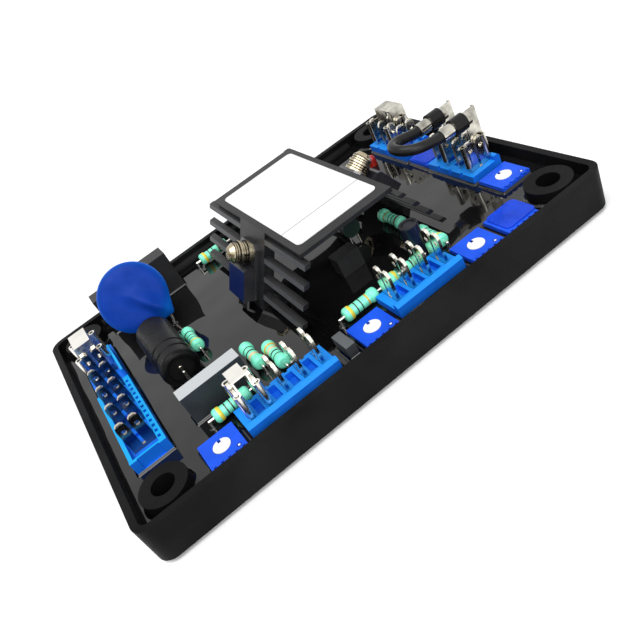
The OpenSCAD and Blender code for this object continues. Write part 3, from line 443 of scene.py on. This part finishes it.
coating = Look(
    "varistor_coating",
    (0.001, 0.034, 0.29),
    0.42,
    grain=700,
    relief=0.25,
    tint=0.1,
    broad=220,
    shine=0.08,
)
tree = coating.tree
turned = facing(tree, VARISTOR_POSE.to_3x3() @ Vector(Z))
rounded = calc(tree, "SUBTRACT", 1.0, calc(tree, "ABSOLUTE", turned))
outward = calc(tree, "DIVIDE", away(tree, coating.place, VARISTOR_POSE.translation), VARISTOR_R)
rim_highlight = both(tree, rounded, calc(tree, "POWER", outward, RIM_HIGHLIGHT_POWER))
# Painted highlight: a lighter blue near the outline, where the coating turns away from the disc's faces
coating.paint(calc(tree, "MULTIPLY", rim_highlight, RIM_HIGHLIGHT_GAIN), (0.004, 0.14, 0.66))
COATING = coating.done()
dress("varistor", COATING)
BARE_LEAD = Look("bare_lead", METAL, 0.25, metal=1.0, grain=1200, relief=0.1).done()

# Box capacitors: the two lower ones have paler tops

LOW_FILM_TOP = 17.15
SMALL_BOX_TOP = 12.15

tall_case = Look(
    "capacitor_case", (0.010, 0.010, 0.011), 0.46, grain=2400, relief=0.5, tint=0.2, shine=0.4
)
dress("tall_film_capacitor", tall_case.done())
grey_case = Look("grey_case", (0.028, 0.033, 0.038), 0.4, grain=2400, relief=0.3, tint=0.12, shine=0.25)
grey_case.paint(over(grey_case.tree, grey_case.height(), LOW_FILM_TOP), (0.50, 0.52, 0.53))
dress("low_film_capacitor", grey_case.done())
small_case = Look("small_case", (0.05, 0.055, 0.06), 0.4, grain=2400, relief=0.4, tint=0.12)
small_case.paint(over(small_case.tree, small_case.height(), SMALL_BOX_TOP), (0.085, 0.095, 0.10))
dress("small_box_capacitor", small_case.done())

# Axial capacitor: shrunk sleeve, dull seal in each end, bare leads; reach is measured from its middle

SEAL_REACH, SEAL_R = 11.05, 3.53
LEAD_START, LEAD_WITHIN = 11.0, 0.5
LEAD_ALONE = 12.6

axial = Look("axial_sleeve", (0.003, 0.003, 0.0034), 0.3, grain=900, relief=0.08, tint=0.2, shine=0.1)
tree = axial.tree
reach = calc(tree, "ABSOLUTE", along(tree, axial.place, Y, AXIAL))
off_x = along(tree, axial.place, X, AXIAL)
off_z = along(tree, axial.place, Z, AXIAL)
radius = calc(tree, "SQRT", calc(tree, "ADD", both(tree, off_x, off_x), both(tree, off_z, off_z)))
seal = both(tree, over(tree, reach, SEAL_REACH), under(tree, radius, SEAL_R))
axial.paint(seal, (0.010, 0.010, 0.010), rough=0.5)
lead_root = both(tree, over(tree, reach, LEAD_START), under(tree, radius, LEAD_WITHIN))
axial.paint(either(tree, over(tree, reach, LEAD_ALONE), lead_root), METAL, rough=0.22, metal=1.0)
dress("axial_capacitor", axial.done())

# Small round parts, rectifier and lamp

CAN_TOP = 17.65
STRIPE_SIDE, STRIPE_FROM = (0.9, -0.44, 0), 2.25
DISC_FOOT = 10.4

can = Look("can_sleeve", (0.006, 0.008, 0.022), 0.22, grain=1500, relief=0.1, shine=0.4)
can.paint(over(can.tree, can.height(), CAN_TOP), (0.05, 0.052, 0.06), rough=0.35, metal=0.8)
can_side = along(can.tree, can.place, STRIPE_SIDE, middle("electrolytic_capacitor"))
can.paint(over(can.tree, can_side, STRIPE_FROM), (0.07, 0.077, 0.105), rough=0.35)
dress("electrolytic_capacitor", can.done())

disc = Look("green_coating", (0.007, 0.026, 0.020), 0.36, grain=900, relief=0.4)
disc.paint(under(disc.tree, disc.height(), DISC_FOOT), METAL, rough=0.25, metal=1.0)
dress("disc_capacitor", disc.done())

epoxy = Look("epoxy_case", (0.014, 0.014, 0.015), 0.4, grain=2600, relief=0.4)
dress("rectifier", epoxy.done())
lamp = Look("lamp_red", (0.35, 0.012, 0.008), 0.15, grain=1800, relief=0.08, tint=0.1)
dress("indicator_lamp", lamp.done())

# Resistors: mint bodies with painted bands, bare leads

MINT = (0.22, 0.92, 0.62)
DARK = (0.03, 0.035, 0.03)
GOLD = (0.62, 0.42, 0.06)
YELLOW = (0.80, 0.66, 0.05)
BROWN = (0.12, 0.045, 0.02)
TAN = (0.72, 0.60, 0.36)
RESISTOR_L = 10.2
RESISTOR_END = 5.12
# Where each band starts and how wide it is, as parts of the body's length
EVEN = ((0.13, 0.09), (0.33, 0.035), (0.47, 0.035), (0.66, 0.05))
TAN_NEAR = ((0.30, 0.11), (0.50, 0.055), (0.68, 0.045))
TAN_FAR = ((0.28, 0.04), (0.42, 0.055), (0.57, 0.10), (0.75, 0.04))
BANDS = {
    "left_resistor": (EVEN, (YELLOW, DARK, DARK, DARK)),
    "middle_resistor_a": (TAN_NEAR, (TAN, DARK, DARK)),
    "middle_resistor_b": (TAN_FAR, (DARK, DARK, TAN, GOLD)),
    "front_resistor_a": (EVEN, (YELLOW, DARK, DARK, BROWN)),
    "front_resistor_b": (EVEN, (YELLOW, DARK, DARK, GOLD)),
    "front_resistor_c": (EVEN, (YELLOW, DARK, BROWN, DARK)),
    "right_resistor_a": (EVEN, (YELLOW, DARK, DARK, DARK)),
    "right_resistor_b": (EVEN, (BROWN, DARK, DARK, GOLD)),
    "rear_resistor": (EVEN, (YELLOW, DARK, DARK, BROWN)),
}

for name, (places, colors) in BANDS.items():
    resistor = Look(name + "_paint", MINT, 0.26, grain=1500, relief=0.2, tint=0.08)
    tree = resistor.tree
    low, high = span(name)
    axis = X if high.x - low.x > high.y - low.y else Y
    from_middle = along(tree, resistor.place, axis, middle(name))
    part = calc(tree, "ADD", calc(tree, "MULTIPLY", from_middle, 1 / RESISTOR_L), 0.5)
    stops = [(0.0, MINT)]
    for (start, width), color in zip(places, colors):
        stops += [(start, color), (start + width, MINT)]
    resistor.color = steps(tree, part, stops)
    on_lead = over(tree, calc(tree, "ABSOLUTE", from_middle), RESISTOR_END)
    resistor.paint(on_lead, METAL, rough=0.22, metal=1.0)
    dress(name, resistor.done())


# Pieces that only show


def piece(name, mesh, material, body=BODY):
    obj = bpy.data.objects.new(name, mesh)
    bpy.context.scene.collection.objects.link(obj)
    obj.data.materials.append(material)
    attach(obj, body)
    return obj


def smooth_mesh(name, points, faces):
    """Mesh of points given in millimetres."""
    mesh = bpy.data.meshes.new(name)
    mesh.from_pydata([tuple(p * MM) for p in points], [], faces)
    mesh.update()
    mesh.polygons.foreach_set("use_smooth", [True] * len(mesh.polygons))
    return mesh


def lathe_faces(rings, around, closed_ends=True):
    """Quads between rings of equal length; closed ends fan to the two points listed after the rings."""
    faces = []
    for i in range(rings - 1):
        for j in range(around):
            k = (j + 1) % around
            faces.append((i * around + j, i * around + k, (i + 1) * around + k, (i + 1) * around + j))
    if closed_ends:
        first, last = rings * around, rings * around + 1
        for j in range(around):
            k = (j + 1) % around
            faces.append((first, k, j))
            faces.append((last, (rings - 1) * around + j, (rings - 1) * around + k))
    return faces


# Varistor: a dipped disc drawn out into a tail, with a soft ridge where the lead lies under the coating

VARISTOR_HALF = 2.4
TAIL_REACH = 12.5
TAIL_TURN = math.radians(-50)
RIDGE_H = 1.9
# The ridge is steeper on one side; it rises and falls between these distances along the tail's direction
RIDGE_STEEP_W, RIDGE_SOFT_W = 1.5, 2.6
RIDGE_RISE, RIDGE_FALL = (-5.0, 5.5), (10.0, 12.6)
FACE_POWER, RIDGE_FADE_POWER = 6, 8
AROUND = 120
FRONT_STEPS = (0.06, 0.16, 0.28, 0.40, 0.52, 0.63, 0.73, 0.81, 0.875, 0.925, 0.96, 0.984, 0.997)


def edge_reach(angle):
    """Distance from the disc's middle to its outline; the tail's sides touch the disc."""
    off = abs((angle - TAIL_TURN + math.pi) % (2 * math.pi) - math.pi)
    tail_half_angle = math.acos(VARISTOR_R / TAIL_REACH)
    return VARISTOR_R / math.cos(max(0.0, tail_half_angle - off))


def ease(value, low, high):
    part = min(1.0, max(0.0, (value - low) / (high - low)))
    return part * part * (3 - 2 * part)


def ridge(x, y):
    """Height of the ridge over a point of the disc's front."""
    ahead = x * math.cos(TAIL_TURN) + y * math.sin(TAIL_TURN)
    aside = y * math.cos(TAIL_TURN) - x * math.sin(TAIL_TURN)
    width = RIDGE_STEEP_W if aside < 0 else RIDGE_SOFT_W
    crest = RIDGE_H * ease(ahead, *RIDGE_RISE) * (1 - ease(ahead, *RIDGE_FALL))
    return crest * math.exp(-((aside / width) ** 2))


def varistor_points():
    points = []
    levels = [(u, 1) for u in FRONT_STEPS] + [(1.0, 0)] + [(u, -1) for u in reversed(FRONT_STEPS)]
    for u, face in levels:
        for j in range(AROUND):
            angle = 2 * math.pi * j / AROUND
            reach = edge_reach(angle)
            x, y = reach * u * math.cos(angle), reach * u * math.sin(angle)
            z = face * VARISTOR_HALF * math.sqrt(1 - u ** FACE_POWER)
            if face > 0:
                z += ridge(x, y) * (1 - u ** RIDGE_FADE_POWER)
            points.append(VARISTOR_POSE @ Vector((x, y, z)))
    points.append(VARISTOR_POSE @ Vector((0, 0, VARISTOR_HALF + ridge(0, 0))))
    points.append(VARISTOR_POSE @ Vector((0, 0, -VARISTOR_HALF)))
    return points


disc_faces = lathe_faces(2 * len(FRONT_STEPS) + 1, AROUND)
disc_mesh = smooth_mesh("varistor_disc", varistor_points(), disc_faces)
dipped_disc = piece("varistor_disc", disc_mesh, COATING)
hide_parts("varistor")


def wire_mesh(name, path, radius, around=14):
    """Round wire along a list of points, each ring square to the run there."""
    points = []
    for i, point in enumerate(path):
        run = (path[min(i + 1, len(path) - 1)] - path[max(i - 1, 0)]).normalized()
        across = run.orthogonal().normalized()
        other = run.cross(across)
        for j in range(around):
            angle = 2 * math.pi * j / around
            points.append(point + radius * (math.cos(angle) * across + math.sin(angle) * other))
    points += [path[0], path[-1]]
    return smooth_mesh(name, points, lathe_faces(len(path), around))


# The varistor's leads: each has a small kink on its way down to the board

LEAD_TURNS = (math.radians(-50), math.radians(-100))
LEAD_REACH = 9.3
LEAD_R = 0.4
KINK = 0.55
KINK_STEPS = 16

lead_feet = []
for number, turn in enumerate(LEAD_TURNS):
    top = VARISTOR_POSE @ Vector((LEAD_REACH * math.cos(turn), LEAD_REACH * math.sin(turn), 0))
    aside = VARISTOR_POSE.to_3x3() @ Vector((KINK, 0, 0))
    run = [Vector((top.x, top.y, BOARD_TOP))]
    for step in range(KINK_STEPS + 1):
        part = step / KINK_STEPS
        swing = math.sin(math.pi * part) ** 2
        run.append(Vector((top.x, top.y, RESIN_TOP + part * (top.z - RESIN_TOP))) + swing * aside)
    lead_mesh = wire_mesh("varistor_lead_%d" % number, run, LEAD_R)
    lead_piece = piece("varistor_lead_%d" % number, lead_mesh, BARE_LEAD)
    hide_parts("varistor")
    lead_feet.append(top)

# Resin creeps a little way up what stands in it

CREEP_H = 0.55
CREEP_W = 0.85
CREEP_CURVE = 2.2
# The fillet starts just inside the solid and lies just over the resin
CREEP_INSET, CREEP_LIFT = 0.02, 0.004
CREEP_STEPS = 6
CORNER_STEPS = 5
BOSS_AROUND, LEAD_AROUND = 48, 16
HOLES_X, HOLES_Y, BOSS_R = 57.5, 40.0, 6.1


def creep_rings(outline):
    """Rings of a hollow fillet; the outline gives a point and the outward direction there."""
    points = []
    for i in range(CREEP_STEPS + 1):
        part = i / CREEP_STEPS
        z = RESIN_TOP + CREEP_H * (1 - part) ** CREEP_CURVE + CREEP_LIFT
        for point, out in outline:
            reach = point + out * (CREEP_W * part - CREEP_INSET)
            points.append(Vector((reach.x, reach.y, z)))
    return points


def box_outline(low, high):
    corners = ((high.x, high.y, 0), (low.x, high.y, 90), (low.x, low.y, 180), (high.x, low.y, 270))
    outline = []
    for x, y, start in corners:
        for step in range(CORNER_STEPS + 1):
            angle = math.radians(start + 90 * step / CORNER_STEPS)
            outline.append((Vector((x, y)), Vector((math.cos(angle), math.sin(angle)))))
    return outline


def round_outline(x, y, radius, around):
    outline = []
    for step in range(around):
        angle = 2 * math.pi * step / around
        out = Vector((math.cos(angle), math.sin(angle)))
        outline.append((Vector((x, y)) + radius * out, out))
    return outline


bosses = [(i * HOLES_X, j * HOLES_Y) for i in (-1, 1) for j in (-1, 1)]
outlines = [round_outline(x, y, BOSS_R, BOSS_AROUND) for x, y in bosses]
boxes = [n for n in NODES if n.endswith("_trimmer") or n.endswith("terminal_block")]
boxes += ["tall_film_capacitor", "low_film_capacitor", "small_box_capacitor"]
outlines += [box_outline(*span(n)) for n in boxes]
for name in BANDS:
    low, high = span(name)
    half = (high - low) / 2 - Vector((LEAD_R, LEAD_R, 0))
    reach = Vector((half.x, 0, 0)) if half.x > half.y else Vector((0, half.y, 0))
    lead_feet += [middle(name) - reach, middle(name) + reach]
outlines += [round_outline(foot.x, foot.y, LEAD_R, LEAD_AROUND) for foot in lead_feet]
creep_points, creep_faces = [], []
for outline in outlines:
    base = len(creep_points)
    creep_points += creep_rings(outline)
    rings = lathe_faces(CREEP_STEPS + 1, len(outline), closed_ends=False)
    creep_faces += [tuple(base + v for v in reversed(face)) for face in rings]
piece("resin_creep", smooth_mesh("resin_creep", creep_points, creep_faces), RESIN)

# Floor, in metres

FLOOR_HALF = 3.0

floor_mesh = bpy.data.meshes.new("floor")
shape = bmesh.new()
bmesh.ops.create_grid(shape, x_segments=1, y_segments=1, size=FLOOR_HALF)
shape.to_mesh(floor_mesh)
shape.free()
floor = bpy.data.objects.new("floor", floor_mesh)
bpy.context.scene.collection.objects.link(floor)
paper = Look("floor_paper", (0.97, 0.97, 0.97), 0.8, grain=300, relief=0.02, tint=0.005, shine=0.1)
floor.data.materials.append(paper.done())

# Lights, in metres

SUN_RUN = Vector((0.25, 0.15, -1))
FRONT_PLACE = Vector((0.0, -0.6, 0.4))
FRONT_TARGET = Vector((0, 0, 0.01))


def place_light(data, run, place=(0, 0, 0)):
    """Puts a light at a place, shining along a direction."""
    obj = bpy.data.objects.new(data.name, data)
    obj.location = place
    obj.rotation_euler = run.to_track_quat("-Z", "Y").to_euler()
    bpy.context.scene.collection.objects.link(obj)


overhead = bpy.data.lights.new("overhead", "SUN")
overhead.energy = 2.2
overhead.angle = math.radians(50)
place_light(overhead, SUN_RUN)
front = bpy.data.lights.new("front", "AREA")
front.shape = "RECTANGLE"
front.size = 0.5
front.size_y = 0.3
front.energy = 2.2
place_light(front, FRONT_TARGET - FRONT_PLACE, FRONT_PLACE)

# World: white to the camera and in shiny surfaces, greyer as a light on matt ones

WHITE, AMBIENT = (1, 1, 1), (0.42, 0.42, 0.43)

world = bpy.data.worlds.new("studio")
bpy.context.scene.world = world
world.use_nodes = True
tree = world.node_tree
ground = tree.nodes["Background"]
rays = add(tree, "ShaderNodeLightPath")
seen = either(tree, rays.outputs["Is Camera Ray"], rays.outputs["Is Glossy Ray"])
feed(tree, ground.inputs["Color"], blend(tree, seen, AMBIENT, WHITE))
ground.inputs["Strength"].default_value = 1.0

# Camera at the photograph's place: its right, up and back directions and its eye, in metres

RIGHT = Vector((0.774892, -0.481433, -0.40959))
UP = Vector((0.602411, 0.366244, 0.709201))
BACK = Vector((-0.191423, -0.796296, 0.57382))
EYE = Vector((-0.03886, -0.161226, 0.108044))
SENSOR_MM = 36
FOCAL_PIXELS, PHOTO_PIXELS = 696.13, 640

camera_data = bpy.data.cameras.new("camera")
camera_data.sensor_width = SENSOR_MM
camera_data.lens = SENSOR_MM * FOCAL_PIXELS / PHOTO_PIXELS
camera_data.clip_start = 0.005
camera = bpy.data.objects.new("camera", camera_data)
turn = Matrix((RIGHT, UP, BACK)).transposed().to_4x4()
camera.matrix_world = Matrix.Translation(EYE) @ turn
bpy.context.scene.collection.objects.link(camera)
bpy.context.scene.camera = camera
bpy.context.scene.view_settings.view_transform = "Standard"
